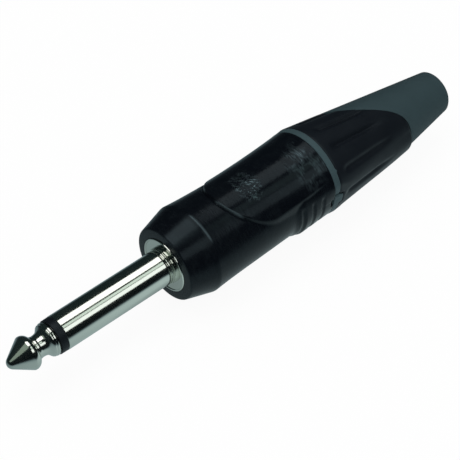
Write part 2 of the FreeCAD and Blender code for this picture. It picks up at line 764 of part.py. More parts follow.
def tab(label, growth):
    """The coding ring's tab, from inside the neck's surface outwards; growth is the room left around it."""
    half = size("tab_width") / 2 + growth
    start = ring_end - size("ring_width") / 2
    corners = rectangle(start, ring_end + size("tab_length") + growth, -half, half)
    body = prism(label, corners, size("boot_radius") + size("tool_margin"))
    body.Placement = FreeCAD.Placement(FreeCAD.Vector(), FreeCAD.Rotation(FreeCAD.Vector(1, 0, 0), 90))
    body.setExpression("Placement.Rotation.Angle", size("tab_angle").text)
    document.recompute()
    return body


def make_coding_ring(upper):
    """The thin grey ring on the boot's neck, with a tab that keys it to the boot."""
    round_form = cylinder_along("ring round", size("shell_length"), size("ring_width"), size("grip_radius"))
    span = cylinder_along("ring span", size("shell_length"), size("ring_width"),
                          size("crown_rear") + size("tool_margin"))
    top = common("ring upper form", upper, span)
    tab_end = ring_end + size("tab_length")
    cone = cone_along("ring tab cone", size("shell_length"), tab_end - size("shell_length"),
                      size("boot_side_radius"), boot_side_at(tab_end))
    tab_form = common("ring tab form", tab("ring tab", 0), cone)
    solid = fused("ring solid", [round_form, top, tab_form])
    hole = cylinder_along("ring hole", size("shell_length") - size("tool_margin"),
                          size("ring_width") + size("tab_length") + size("tool_margin") * 2,
                          size("neck_radius_boot") + size("ring_fit"))
    return cut("coding_ring", solid, hole)


def make_flute_tools():
    """Long egg-shaped tools laid on the boot, one for each flute."""
    count = int(round(size("flute_count").value))
    middle = core_end - size("flute_before")
    surface = (boot_side_at(middle) + boot_top_at(middle)) / 2
    radial = surface.value - size("flute_depth").value + size("flute_height").value / 2
    tools = []
    for index in range(count):
        egg = Part.makeSphere(0.5)
        stretch = FreeCAD.Matrix()
        stretch.scale(size("flute_length").value, size("flute_width").value, size("flute_height").value)
        egg = egg.transformGeometry(stretch)
        egg.rotate(FreeCAD.Vector(), FreeCAD.Vector(0, 1, 0), size("flute_slope").value)
        egg.translate(FreeCAD.Vector(middle.value, 0, radial))
        angle = size("flute_first").value + 360.0 / count * index
        egg.rotate(FreeCAD.Vector(), FreeCAD.Vector(1, 0, 0), angle)
        tools.append(egg)
    feature = document.addObject("Part::Feature", "flute_tools")
    feature.Shape = Part.makeCompound(tools)
    feature.Label = "flute tools"
    return feature


def seam_block(label):
    """Everything in front of the seam between the boot's black and grey parts, which is cut straight down."""
    wide = size("boot_radius") + size("tool_margin")
    return prism(label, [
        (ring_end, -wide),
        (seam_near, -wide),
        (seam_near, -size("seam_near_side"), size("seam_near_round"), -1),
        (seam_middle, -size("seam_middle_side"), size("seam_far_round"), 1),
        (seam_far, size("seam_far_side")),
        (seam_far, wide),
        (ring_end, wide),
    ], wide * 2, both_ways=True)


def make_boot_core():
    """The hard black part: threaded neck, fluted front and the tube that goes on under the rubber."""
    side_cone = cone_along("core side cone", ring_end, seam_near - ring_end,
                           size("boot_side_radius"), boot_side_at(seam_near))
    top_cone = cone_along("core top cone", ring_end, seam_near - ring_end,
                          size("boot_radius"), boot_top_at(seam_near))
    wedge = prism("core top wedge", [
        (ring_end, -boot_side_at(ring_end)),
        (seam_near, -boot_side_at(seam_near)),
        (seam_near, boot_side_at(seam_near)),
        (ring_end, boot_side_at(ring_end)),
    ], size("boot_radius") + size("tool_margin"))
    top_form = common("core top form", top_cone, wedge)
    front_form = fused("core front form", [side_cone, top_form])
    front = common("core front", front_form, seam_block("core seam block"))
    fluted = cut("core fluted", front, make_flute_tools())
    tube_start = seam_far - size("core_cover")
    tube = turned("core tube", [
        (neck_front, 0),
        (neck_front, size("neck_radius_boot")),
        (ring_end + size("core_cover"), size("neck_radius_boot")),
        (tube_start, boot_top_at(tube_start) - size("core_cover")),
        (core_end, size("core_end_radius")),
        (core_end, 0),
    ])
    solid = fused("core solid", [fluted, tube])
    hollow = turned("core hollow", [
        (neck_front - size("tool_margin"), 0),
        (neck_front - size("tool_margin"), size("chuck_room")),
        (ring_end + size("chuck_room_length"), size("chuck_room")),
        (chuck_end + size("tooth_height"), size("squeeze_radius")),
        (chuck_end + size("tooth_height"), size("cable_bore")),
        (core_end + size("tool_margin"), size("cable_bore")),
        (core_end + size("tool_margin"), 0),
    ])
    bored = cut("core bored", solid, hollow)
    return cut("boot_core", bored, tab("core tab room", size("tab_fit")))


def make_boot_grip():
    """The grey rubber gland round the core, down to the rounded cable mouth."""
    start = seam_far - size("core_cover")
    rim, mouth = size("mouth_round"), boot_end
    cover = turned("grip cover", [
        (start, 0),
        (start, boot_top_at(start)),
        (mouth - rim, boot_top_at(mouth - rim), size("mouth_arc"), 1),
        (mouth, boot_top_at(mouth) - rim),
        (mouth, 0),
    ])
    behind = cut("grip behind seam", cover, seam_block("grip seam block"))
    room = boot_top_at(start) - size("core_cover")
    core = turned("grip core room", [
        (start - size("tool_margin"), 0),
        (start - size("tool_margin"), room),
        (start, room),
        (core_end, size("core_end_radius")),
        (core_end, size("cable_bore")),
        (mouth + size("tool_margin"), size("cable_bore")),
        (mouth + size("tool_margin"), 0),
    ])
    return cut("boot_grip", behind, core)


def make_chuck():
    """The slotted collet: flange, four fingers that taper to the rear, and teeth inside their ends."""
    corners = [
        (carrier_end, size("chuck_bore")),
        (carrier_end, size("chuck_flange_radius")),
        (carrier_end + size("chuck_flange_length"), size("chuck_flange_radius")),
        (carrier_end + size("chuck_flange_length"), size("chuck_radius")),
        (chuck_end - size("chuck_taper"), size("chuck_radius")),
        (chuck_end, size("chuck_end_radius")),
        (chuck_end, size("chuck_bore")),
    ]
    for index in range(CHUCK_TEETH):
        back = chuck_end - size("tooth_pitch") * (index + 0.5)
        corners.append((back, size("chuck_bore")))
        corners.append((back - size("tooth_pitch") / 4, size("chuck_bore") - size("tooth_height")))
        corners.append((back - size("tooth_pitch") / 2, size("chuck_bore")))
    body = turned("chuck", corners)
    half, end = size("slot_width") / 2, chuck_end + size("tool_margin")
    reach = (size("chuck_radius") + size("tool_margin")) * 2
    for name, plane in (("chuck_slot_upright", "XY_Plane"), ("chuck_slot_level", "XZ_Plane")):
        cut_through(body, name, plane, rectangle(carrier_end + size("slot_start"), end, -half, half), reach)
    return body


barrel_form = make_barrel()
upper_form = make_upper_form()
parts = [
    make_shell(barrel_form, upper_form),
    make_sleeve(),
    make_tip(),
    make_tip_rod(),
    make_tip_insulator(),
    make_rod_insulator(),
    make_lug("sleeve_terminal", sleeve_end, size("sleeve_lug_radius"), size("sleeve_bore"), -1,
             size("sleeve_lug_drop"), carrier_end - size("sleeve_lug_gap") - sleeve_end),
    make_terminal_spacer(),
    make_lug("tip_terminal", spacer_end, size("tip_lug_radius"), rod_hole, 1,
             size("tip_lug_rise"), carrier_end - size("tip_lug_gap") - spacer_end),
    make_rod_washer(),
    make_insert_carrier(),
    make_insulating_liner(),
    make_chuck(),
    make_coding_ring(upper_form),
    make_boot_core(),
    make_boot_grip(),
]
document.recompute()

for item in document.Objects:
    if "Invalid" in item.State or "Error" in item.State:
        raise RuntimeError(item.Label + " failed: " + ", ".join(item.State))
os.makedirs("parts", exist_ok=True)
for part in parts:
    if part.Shape.isNull() or not part.Shape.isValid():
        raise RuntimeError(part.Label + " has no valid shape")
    if len(part.Shape.Solids) != 1:
        raise RuntimeError("%s has %d solids" % (part.Label, len(part.Shape.Solids)))
    part.Shape.exportStep("parts/" + part.Label + ".step")
    print("%-18s volume %9.2f cubic mm" % (part.Label, part.Shape.Volume))
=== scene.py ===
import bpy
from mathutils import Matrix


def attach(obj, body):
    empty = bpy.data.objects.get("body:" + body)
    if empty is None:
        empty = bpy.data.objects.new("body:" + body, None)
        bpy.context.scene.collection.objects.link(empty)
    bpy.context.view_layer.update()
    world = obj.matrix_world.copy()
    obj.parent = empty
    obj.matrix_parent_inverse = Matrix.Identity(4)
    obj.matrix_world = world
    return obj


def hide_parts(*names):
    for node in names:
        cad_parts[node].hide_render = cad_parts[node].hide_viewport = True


bl_info = {
    "name": "Mono jack plug",
    "version": (1, 0, 0),
    "blender": (4, 5, 0),
    "location": "View3D > Sidebar > Jack plug",
    "description": "Dresses a 6.35 mm mono jack plug with its turned, die-cast and moulded pieces",
    "category": "Object",
}

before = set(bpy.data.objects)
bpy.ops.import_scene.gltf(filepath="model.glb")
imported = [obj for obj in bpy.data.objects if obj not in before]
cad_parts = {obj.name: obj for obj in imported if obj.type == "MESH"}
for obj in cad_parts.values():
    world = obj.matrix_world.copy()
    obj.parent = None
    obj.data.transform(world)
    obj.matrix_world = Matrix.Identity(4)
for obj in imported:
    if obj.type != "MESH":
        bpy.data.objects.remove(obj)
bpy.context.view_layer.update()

import math

import bmesh
import bpy
from bpy.props import FloatProperty, FloatVectorProperty, IntProperty, PointerProperty
from bpy.types import Operator, Panel, PropertyGroup
from mathutils import Matrix, Vector

MILLIMETRE = 0.001
# Lengths are in millimetres, and places along the plug count from the shell's front face. Materials, floor
# and camera are in metres, as Blender has them.
# Skin points are spun on a drum of this radius and then drawn in to their own radius.
DRUM = 30.0
# The shell's turned form
CREASE_RADIUS = 8.38
WAIST_SLOPE = 0.031
GRIP_START, GRIP_FULL = 23.1, 25.5
# The raised panel's outline seen from above: a nose arc, two flank arcs and straight sides
PANEL_NOSE_CENTRE = 17.9
PANEL_NOSE_RADIUS = 6.9
PANEL_NOSE_END = 13.36
PANEL_FLANK_CENTRE = 19.5
PANEL_FLANK_RADIUS = 9.33
PANEL_HALF_WIDTH = 7.38
CROWN_START, CROWN_LENGTH = 10.68, 22.84
# The grooves between the finger ribs
RIB_START = 24.85
RIB_HALF_WIDTH = 0.6
RIB_GROOVES = 3
# The boot and the shell's rear are drawn in to flat flanks at this half width.
FLANK_LIMIT = 8.33
# The seam between the boot's black and grey parts, on the axis, and the row of flutes in front of it
SEAM_START = 47.1
FLUTE_PITCH, FLUTE_FIRST, FLUTE_WIDTH = 30, 27, 3.9
# The ring's key tab, the boot's notch for it, the shell's recess beside it, and the ring's nub and slit, in
# degrees from the top towards the viewer
TAB, NOTCH, RECESS = (84.5, 100.0), (83.0, 101.5), (87.0, 100.5)
NUB, SLIT = 51.5, 82.5
# Steps along a thread, and the cable's bore
THREAD_STEP = 0.14
CABLE_BORE = 3.5
# How pale the shell's front face is painted, from 0 to 1: a painted reflection of the pale floor
FACE_PAINTED_REFLECTION = 0.05
# Softboxes: name, middle and width round the plug, middle and width along it, radiance and tint. Round the
# plug is in degrees from the top towards the viewer, along it in degrees from the cable end.
LAMPS = (
    ("overhead softbox", (-11.2, 33), (89, 65), 1.9, (1.0, 1.0, 1.0)),
    ("overhead softbox's dim end", (-10, 30), (132.5, 22), 0.33, (0.82, 1.0, 0.86)),
    ("middle strip", (21.6, 13.5), (71.5, 32), 1.09, (0.87, 1.0, 0.93)),
    ("front softbox", (42.8, 21), (84.3, 55.5), 1.48, (0.95, 1.0, 1.0)),
)
# Floor and room as the plug reflects them: the floor from far off to the middle of its painted pool of light
FLOOR_TONES = ((0.0, "2A3236"), (0.14, "37434A"), (0.58, "788B90"), (0.87, "BFD2D4"))
FLOOR_MIDDLE = "C8DADC"
ROOM_FAR, ROOM_NEAR = "1A2627", "0A1215"
# The studio, in metres
LAMP_DISTANCE = 0.62
FLOOR_RADIUS = 1.5
CAMERA_PLACE = (-0.10575, -0.1341, 0.1848)
CAMERA_AHEAD = (0.4645, 0.5168, -0.7192)
CAMERA_RIGHT = (0.7437, -0.6685, 0.0)
CAMERA_LENS = 117.4


def hex_colour(code):
    """A screen colour such as "33424A" as the linear values that a shader takes."""
    values = [int(code[index:index + 2], 16) / 255 for index in (0, 2, 4)]
    return [value / 12.92 if value <= 0.04045 else ((value + 0.055) / 1.055) ** 2.4 for value in values]


def length(name, description, default):
    return FloatProperty(name=name, description=description + ", in millimetres", default=default, min=0.0)


def colour(name, description, code):
    return FloatVectorProperty(name=name, description=description, subtype="COLOR", size=3, min=0.0, max=1.0,
                               default=hex_colour(code))


class PlugSizes(PropertyGroup):
    columns: IntProperty(name="Columns", description="Steps round the shell and the boot",
                         default=384, min=48)
    shaft_radius: length("Shaft radius", "Half of the shaft's width", 3.175)
    front_radius: length("Front radius", "Radius of the shell's front face", 6.85)
    crease_at: length("Crease place", "Front face to the crease of the nose cone", 5.4)
    grip_radius: length("Grip radius", "Radius of the ribbed end of the shell", 8.3)
    rib_depth: length("Rib depth", "Depth of the grooves between the finger ribs", 0.23)
    rib_pitch: length("Rib pitch", "Pitch of those grooves", 2.25)
    groove_depth: length("Panel groove", "Depth of the groove round the panel's front", 0.26)
    shell_length: length("Shell length", "Front face to the shell's rear face", 31.97)
    ring_end: length("Ring end", "Front face to the rear of the coding ring", 33.2)
    boot_end: length("Boot end", "Front face to the cable mouth", 65.95)
    boot_radius: length("Boot radius", "Radius of the boot at the ring, on the panel's side", 8.9)
    mouth_radius: length("Mouth radius", "Outer radius at the cable mouth", 4.3)
    flute_depth: length("Flute depth", "Depth of the boot's flutes", 0.4)
    thread_pitch: length("Thread pitch", "Pitch of the screw between boot and shell", 1.0)
    floor_height: FloatProperty(name="Floor height", description="Height of the floor, in millimetres",
                                default=-8.4)


class PlugColours(PropertyGroup):
    lacquer: colour("Lacquer", "Stoved black lacquer of the shell", "080B10")
    # Also the colour of the painted highlights on the nose, crease and lip, and of the front face's painted
    # reflection
    rubbed_and_painted_light: colour("Rubbed edge", "Paler lacquer on rubbed edges and the front face", "55656A")
    nickel: colour("Nickel", "Nickel plating of the shaft and tip", "CFD2C9")
    nylon: colour("Nylon", "Black glass-filled nylon of the boot", "10141A")
    rubber: colour("Rubber", "Grey thermoplastic rubber of the gland", "2E3E42")
    ring: colour("Ring", "Grey nylon of the coding ring", "35464A")
    insulator: colour("Insulator", "Black insulating ring behind the tip", "0F1317")
    brass: colour("Brass", "Turned brass of the centre rod", "C9A45C")
    tin: colour("Tin", "Tinned sheet of the solder lugs", "B9BBB8")
    white_acetal: colour("White acetal", "Insulating washer and tube", "D9D8D0")
    grey_acetal: colour("Grey acetal", "Cable chuck", "5E6468")
    carrier_nylon: colour("Carrier nylon", "Black nylon of the insert carrier", "1B1D20")


def smooth_step(value, start, end):
    """0 before start, 1 after end, with a smooth rise between them."""
    share = min(max((value - start) / (end - start), 0.0), 1.0)
    return share * share * (3 - 2 * share)


def between(value, start, end, rise=1.5):
    """1 from start to end, 0 outside, with a smooth rise and fall inside them."""
    return smooth_step(value, start, start + rise) * (1 - smooth_step(value, end - rise, end))


def bell(offset, width):
    """1 in the middle, falling away smoothly over a width."""
    return math.exp(-(offset / width) ** 2)


def run(start, step, count):
    """Evenly spaced places."""
    return [start + step * index for index in range(count)]


def arc(middle, radius, start, end, steps):
    """Outline corners on an arc from one angle to another, in degrees from straight out towards the rear."""
    corners = []
    for step in range(steps + 1):
        turn = math.radians(start + (end - start) * step / steps)
        out = max(middle[1] + radius * math.cos(turn), 0.0)
        corners.append((middle[0] + radius * math.sin(turn), out))
    return corners


def edge_drop(inside, edge):
    """What a rounded edge takes off a radius, at a distance inside it."""
    reach = max(edge - inside, 0.0)
    return edge - math.sqrt(max(edge ** 2 - reach ** 2, 0.0))


def soft_least(first, second, rounding):
    """The lesser of two radii, with a rounded corner where they cross."""
    share = min(max(0.5 + 0.5 * (second - first) / rounding, 0.0), 1.0)
    return second + (first - second) * share - rounding * share * (1 - share)


def soft_most(first, second, rounding):
    """The greater of two radii, with a rounded corner where they cross."""
    return -soft_least(-first, -second, rounding)


def barrel_radius(sizes, along):
    """The shell's turned form: rounded front edge, nose cone, slim waist and grip."""
    cone = sizes.front_radius + (CREASE_RADIUS - sizes.front_radius) / sizes.crease_at * along
    behind = along - sizes.crease_at
    drawn_in = 0.16 * (1 - math.exp(-max(behind, 0.0) / 2.4))
    body = 8.35 - WAIST_SLOPE * behind - drawn_in
    radius = soft_least(cone, body, 0.10)
    waist = 7.6
    radius += (sizes.grip_radius - waist) * smooth_step(along, GRIP_START, GRIP_FULL)
    return radius - edge_drop(along, 0.28)


def outline_half_width(along):
    """Half width of the panel's plan view: a round nose that runs into straight sides."""
    if along <= PANEL_NOSE_CENTRE - PANEL_NOSE_RADIUS:
        return 0.0
    nose = math.sqrt(max(PANEL_NOSE_RADIUS ** 2 - min(along - PANEL_NOSE_CENTRE, 0.0) ** 2, 0.0))
    lead = min(along - PANEL_FLANK_CENTRE, 0.0)
    flank = math.sqrt(max(PANEL_FLANK_RADIUS ** 2 - lead ** 2, 0.0))
    flank -= PANEL_FLANK_RADIUS - PANEL_HALF_WIDTH
    return min(nose, flank) if along < PANEL_NOSE_END else flank


def outline_distance(along, across):
    """Distance of a point of the plan view outside the panel's outline; it is negative inside."""
    across = abs(across)
    # The two arcs meet on a line through the nose arc's middle.
    if across < (PANEL_NOSE_CENTRE - along) * 1.144:
        return math.hypot(along - PANEL_NOSE_CENTRE, across) - PANEL_NOSE_RADIUS
    if along < PANEL_FLANK_CENTRE:
        drop = PANEL_FLANK_RADIUS - PANEL_HALF_WIDTH
        return math.hypot(along - PANEL_FLANK_CENTRE, across + drop) - PANEL_FLANK_RADIUS
    return across - PANEL_HALF_WIDTH


def crown_radius(along, angle):
    """The raised panel's top surface, a shallow barrel about an axis that falls towards the rear."""
    share = (along - CROWN_START) / CROWN_LENGTH
    # From 8.08 to 9.17 mm, and hollow by up to 0.28 mm between
    crown = 8.08 + 1.09 * share - 1.12 * share * (1 - share)
    centre = 0.2 - 0.02933 * (along - CROWN_START)
    return centre * math.cos(angle) + math.sqrt(crown ** 2 - (centre * math.sin(angle)) ** 2)


def shell_radius(sizes, along, angle):
    """Radius of the shell's outside at a place along it and an angle from its top, towards the viewer."""
    radius = barrel_radius(sizes, along)
    across = abs(math.sin(angle))
    rib = 0.0
    for index in range(RIB_GROOVES):
        off = abs(along - RIB_START - sizes.rib_pitch * index) / RIB_HALF_WIDTH
        rib += sizes.rib_depth * (0.5 + 0.5 * math.cos(math.pi * min(off, 1.0)))
    # The ribs run out where the flanks turn up to the panel.
    rib *= 1 - smooth_step(radius * math.cos(angle), 1.5, 2.6)
    radius -= rib
    if math.cos(angle) <= 0:
        return radius
    if along > 24.0:
        flare = 8.0 + 0.9 * (along - 24.6) / 8.6
        drawn_in = smooth_step(abs(math.degrees(angle)), 68, 92)
        sides = flare + (min(flare, 8.15) - flare) * drawn_in
        sides = soft_least(sides, FLANK_LIMIT / max(across, 0.05), 0.12) - rib
        radius = soft_most(radius, sides, 0.12)
    if along > 10.3:
        outside = outline_distance(along, radius * across)
        dip = bell(outside - 0.17, 0.15) * (1 - smooth_step(along, 13.5, 17.5))
        radius -= sizes.groove_depth * dip
        wall = max(outline_half_width(along), 0.01) / max(across, 0.0001)
        front = smooth_step(along, 10.98, 11.2)
        raised = soft_least(crown_radius(along, angle), wall, 0.16) * front
        radius = soft_most(radius, raised, 0.1)
    return radius


def seam_place(across):
    """Where the boot's black part ends, at a distance off the axis towards the far side."""
    if across < 0:
        return SEAM_START + 6.7 * math.sin(min(-across / 6.2, 1.0) * math.pi / 2) ** 1.12
    return SEAM_START - 1.55 * across + 0.085 * across * across


def grip_surface(sizes, along):
    """Radius of the grey rubber cone, and of the black part on the panel's side."""
    fall = (sizes.boot_radius - sizes.mouth_radius) / (sizes.boot_end - sizes.ring_end)
    return sizes.boot_radius - fall * (along - sizes.ring_end)


def core_surface(sizes, along, angle):
    """Radius of the boot's black part: rounder on the panel's side, straighter below, with flutes."""
    top = grip_surface(sizes, along) + 0.02
    behind = along - sizes.ring_end
    # The lower side is 8.24 mm at the ring and falls faster towards the seam.
    below = 8.24 - 0.070 * behind - 0.0006 * behind ** 2 - 0.01 * max(behind - 13.5, 0.0)
    degrees = math.degrees(angle)
    lower = smooth_step(degrees, 73, 98) if degrees > 0 else smooth_step(-degrees, 70, 110)
    radius = soft_least(top + (below - top) * lower, FLANK_LIMIT / max(abs(math.sin(angle)), 0.05), 0.12)
    # The flutes lean by 0.3 degrees a millimetre, and those on the flank stand 3.5 degrees lower.
    middle = FLUTE_FIRST + 3.5 * smooth_step(degrees, 65, 82) + 0.3 * (along - 38)
    off = (degrees - middle + FLUTE_PITCH / 2) % FLUTE_PITCH - FLUTE_PITCH / 2
    reach = smooth_step(along, 34.6, 36.4) * (1 - smooth_step(along, 43.0, 49.5))
    depth = sizes.flute_depth * (1.45 - 0.5 * smooth_step(degrees, 32, 52))
    return radius - depth * reach * bell(off, FLUTE_WIDTH)


def seam_at(sizes, angle):
    """Where the column of the boot at an angle meets the seam."""
    along = 48.0
    for _ in range(12):
        along = seam_place(-core_surface(sizes, along, angle) * math.sin(angle))
    return along


def wire(corners):
    """A new bmesh with a closed outline of (along, radius) or (along, radius, rounding) corners."""
    mesh = bmesh.new()
    verts = [mesh.verts.new((corner[0], 0, corner[1])) for corner in corners]
    for first, second in zip(verts, verts[1:] + verts[:1]):
        mesh.edges.new((first, second))
    for vert, corner in zip(verts, corners):
        if len(corner) > 2:
            bmesh.ops.bevel(mesh, geom=[vert], offset=corner[2], offset_type="OFFSET", segments=4,
                            profile=0.5, affect="VERTICES", material=-1)
    return mesh


def spin(mesh, steps):
    """Turns an outline about the plug's axis into a closed body."""
    bmesh.ops.spin(mesh, geom=mesh.verts[:] + mesh.edges[:], cent=(0, 0, 0), axis=(1, 0, 0), dvec=(0, 0, 0),
                   angle=2 * math.pi, steps=steps, use_merge=True, use_duplicate=False)
    bmesh.ops.remove_doubles(mesh, verts=mesh.verts[:], dist=0.0001)


def polar(vert):
    """A point's place along the plug, its radius and its angle from the top towards the viewer."""
    return vert.co.x, math.hypot(vert.co.y, vert.co.z), math.atan2(-vert.co.y, vert.co.z)


def thread_radius(sizes, along, angle, root, depth):
    """A V thread's radius at a place and an angle."""
    turn = (along / sizes.thread_pitch - angle / (2 * math.pi)) % 1.0
    return root + depth * abs(2 * turn - 1)


def put(vert, along, radius, angle):
    vert.co = Vector((along, -radius * math.sin(angle), radius * math.cos(angle)))


def finish_piece(mesh, name, body, material, nodes=(), sharp=40):
    """Turns a bmesh in millimetres into a piece in metres that rides on a body."""
    bmesh.ops.recalc_face_normals(mesh, faces=mesh.faces[:])
    bmesh.ops.scale(mesh, verts=mesh.verts[:], vec=(MILLIMETRE, MILLIMETRE, MILLIMETRE))
    data = bpy.data.meshes.new(name)
    mesh.to_mesh(data)
    mesh.free()
    data.shade_smooth()
    data.set_sharp_from_angle(angle=math.radians(sharp))
    piece = bpy.data.objects.new(name, data)
    bpy.context.scene.collection.objects.link(piece)
    piece.data.materials.append(material)
    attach(piece, body)
    if nodes:
        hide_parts(*nodes)
    return piece


def node(tree, kind, settings=None, links=None):
    """Adds a shader node, sets its values and sockets, and links its inputs."""
    added = tree.nodes.new(kind)
    for name, value in (settings or {}).items():
        if isinstance(name, int) or name in added.inputs:
            added.inputs[name].default_value = value
        else:
            setattr(added, name, value)
    for name, source in (links or {}).items():
        tree.links.new(source, added.inputs[name])
    return added


def new_material(name):
    """An empty node material with its output, and Object coordinates in metres."""
    material = bpy.data.materials.new(name)
    material.use_nodes = True
    tree = material.node_tree
    tree.nodes.clear()
    place = node(tree, "ShaderNodeTexCoord").outputs["Object"]
    return material, tree, place


def close_material(tree, shader):
    node(tree, "ShaderNodeOutputMaterial", links={"Surface": shader.outputs[0]})


def rgba(values):
    return (values[0], values[1], values[2], 1.0)


def mapped(tree, place, scale, middle=(0.0, 0.0, 0.0), turn=0.0, kind="TEXTURE"):
    """Coordinates moved, turned and scaled; the TEXTURE kind takes the scale as a size in metres."""
    settings = {"vector_type": kind, "Location": middle, "Rotation": (0.0, 0.0, turn), "Scale": scale}
    return node(tree, "ShaderNodeMapping", settings, {"Vector": place}).outputs[0]


def noise(tree, place, scale, detail, distortion=0.0):
    settings = {"Scale": scale, "Detail": detail, "Distortion": distortion}
    return node(tree, "ShaderNodeTexNoise", settings, {"Vector": place}).outputs["Fac"]


def spot(tree, place, middle, reach):
    """1 in the middle of an ellipsoid, falling evenly to 0 at its surface."""
    around = mapped(tree, place, reach, middle)
    ball = node(tree, "ShaderNodeTexGradient", {"gradient_type": "SPHERICAL"}, {"Vector": around})
    return ball.outputs["Fac"]


def ranged(tree, value, start, end, low=0.0, high=1.0):
    """A value carried from one range over to another, and kept inside it."""
    settings = {"From Min": start, "From Max": end, "To Min": low, "To Max": high}
    return node(tree, "ShaderNodeMapRange", settings, {"Value": value}).outputs[0]


def maths(tree, operation, *values, clamp=False):
    """A calculation over numbers and sockets."""
    numbers = {index: value for index, value in enumerate(values) if isinstance(value, float)}
    sockets = {index: value for index, value in enumerate(values) if not isinstance(value, float)}
    settings = {"operation": operation, "use_clamp": clamp}
    return node(tree, "ShaderNodeMath", settings | numbers, sockets).outputs[0]


def tinted(tree, share, low, high):
    """A colour between two others."""
    settings = {"data_type": "RGBA", 6: rgba(low), 7: rgba(high)}
    return node(tree, "ShaderNodeMix", settings, {0: share}).outputs[2]


def bumped(tree, height, strength, depth):
    settings = {"Strength": strength, "Distance": depth}
    return node(tree, "ShaderNodeBump", settings, {"Height": height}).outputs[0]


def mixed(tree, share, first, second):
    return node(tree, "ShaderNodeMixShader", links={0: share, 1: first.outputs[0], 2: second.outputs[0]})


def lacquer_material(colours):
    """Die-cast zinc under stoved black lacquer: semi-gloss over a fine orange peel, with painted highlights
    on the nose, its crease and the panel's front lip, laid as paler rubbed lacquer that reflects like metal
    on the crease and lip, a painted reflection on the front face, a patch of crossing scuffs near the panel's
    front and faint cross strokes that break up its highlights."""
    material, tree, place = new_material("stoved black lacquer")
    peel = noise(tree, place, 1400.0, 2.0)
    haze = noise(tree, place, 260.0, 3.0, 0.8)
    # Cross strokes 0.25 mm wide and 1.2 mm long
    strokes = noise(tree, mapped(tree, place, (4000.0, 800.0, 800.0), kind="POINT"), 1.0, 2.0)
    # Scuffs are wavy strokes 1.1 mm long, in two directions that cross, in a patch that breaks up over 2 mm.
    hatches = []
    for turn, level in ((-0.75, 0.53), (0.55, 0.58)):
        wavy = noise(tree, mapped(tree, place, (0.0011, 0.00028, 0.00028), turn=turn), 1.0, 1.0, 0.5)
        hatches.append(ranged(tree, wavy, level, level + 0.09))
    front = spot(tree, place, (0.0175, -0.0012, 0.0082), (0.003, 0.004, 0.006))
    breaks = noise(tree, place, 500.0, 2.0)
    broken = ranged(tree, maths(tree, "ADD", front, breaks), 0.55, 0.95)
    patch = maths(tree, "MULTIPLY", ranged(tree, front, 0.0, 0.15), broken)
    scuffs = maths(tree, "MULTIPLY", maths(tree, "MAXIMUM", *hatches), patch)
    # Rubs are the cross strokes in clouds, strongest near the panel's rear.
    rear = spot(tree, place, (0.029, -0.0035, 0.0075), (0.0042, 0.0052, 0.006))
    overall = maths(tree, "ADD", rear, 0.035)
    clouds = maths(tree, "MULTIPLY", ranged(tree, breaks, 0.4, 0.6, high=1.3), overall)
    rubs = maths(tree, "MULTIPLY", ranged(tree, strokes, 0.36, 0.66), clouds)
    marks = maths(tree, "MAXIMUM", scuffs, rubs)
    # Painted highlights and the front face's painted reflection, stored on the shell's mesh
    painted_light = node(tree, "ShaderNodeAttribute", {"attribute_name": "painted_light"}).outputs["Fac"]
    worn_and_painted_light = maths(tree, "ADD", painted_light, maths(tree, "MULTIPLY", marks, 0.6), clamp=True)
    # Scuffs, and the painted highlights on the crease and the lip, reflect like metal, and the panel is a
    # little glossier than the barrel.
    bare_and_painted_light = maths(tree, "MULTIPLY_ADD", marks, 1.1, ranged(tree, painted_light, 0.36, 1.0, high=0.8), clamp=True)
    panel = node(tree, "ShaderNodeAttribute", {"attribute_name": "panel"}).outputs["Fac"]
    gloss = maths(tree, "MULTIPLY_ADD", haze, 0.2, ranged(tree, panel, 0.0, 1.0, 0.12, 0.08))
    height = maths(tree, "MULTIPLY_ADD", marks, 2.0, maths(tree, "MULTIPLY_ADD", strokes, 0.5, peel))
    shader = node(tree, "ShaderNodeBsdfPrincipled",
                  {"IOR": 1.5, "Specular IOR Level": 0.14, "Specular Tint": (0.72, 0.92, 1.0, 1.0)},
                  {"Base Color": tinted(tree, worn_and_painted_light, colours.lacquer, colours.rubbed_and_painted_light), "Metallic": bare_and_painted_light,
                   "Roughness": gloss, "Normal": bumped(tree, height, 0.42, 0.00003)})
    close_material(tree, shader)
    return material


def nickel_material(colours):
    """Bright nickel plating on turned brass: a mirror with fine turning rings and slight haze."""
    material, tree, place = new_material("bright nickel plating")
    rings = noise(tree, mapped(tree, place, (1.0, 0.02, 0.02), kind="POINT"), 5200.0, 3.0)
    gloss = ranged(tree, noise(tree, place, 380.0, 3.0), 0.3, 0.7, 0.09, 0.15)
    shader = node(tree, "ShaderNodeBsdfPrincipled", {"Base Color": rgba(colours.nickel), "Metallic": 1.0},
                  {"Roughness": gloss, "Normal": bumped(tree, rings, 0.05, 0.00001)})
    close_material(tree, shader)
    return material


def moulded_material(name, values, rough, grain, strength, mottle=0.08, shine=0.2):
    """Moulded plastic or rubber: satin, with a spark-eroded grain and a slight unevenness of colour."""
    material, tree, place = new_material(name)
    fine = noise(tree, place, 1.6 / (grain * MILLIMETRE), 2.0)
    broad = noise(tree, place, 300.0, 3.0)
    low = [value * (1 - mottle) for value in values]
    high = [value * (1 + mottle) for value in values]
    gloss = ranged(tree, broad, 0.3, 0.7, rough - 0.05, rough + 0.05)
    shader = node(tree, "ShaderNodeBsdfPrincipled",
                  {"IOR": 1.5, "Specular IOR Level": shine, "Specular Tint": (0.78, 0.94, 1.0, 1.0)},
                  {"Base Color": tinted(tree, broad, low, high), "Roughness": gloss,
                   "Normal": bumped(tree, fine, strength, 0.00002)})
    close_material(tree, shader)
    return material


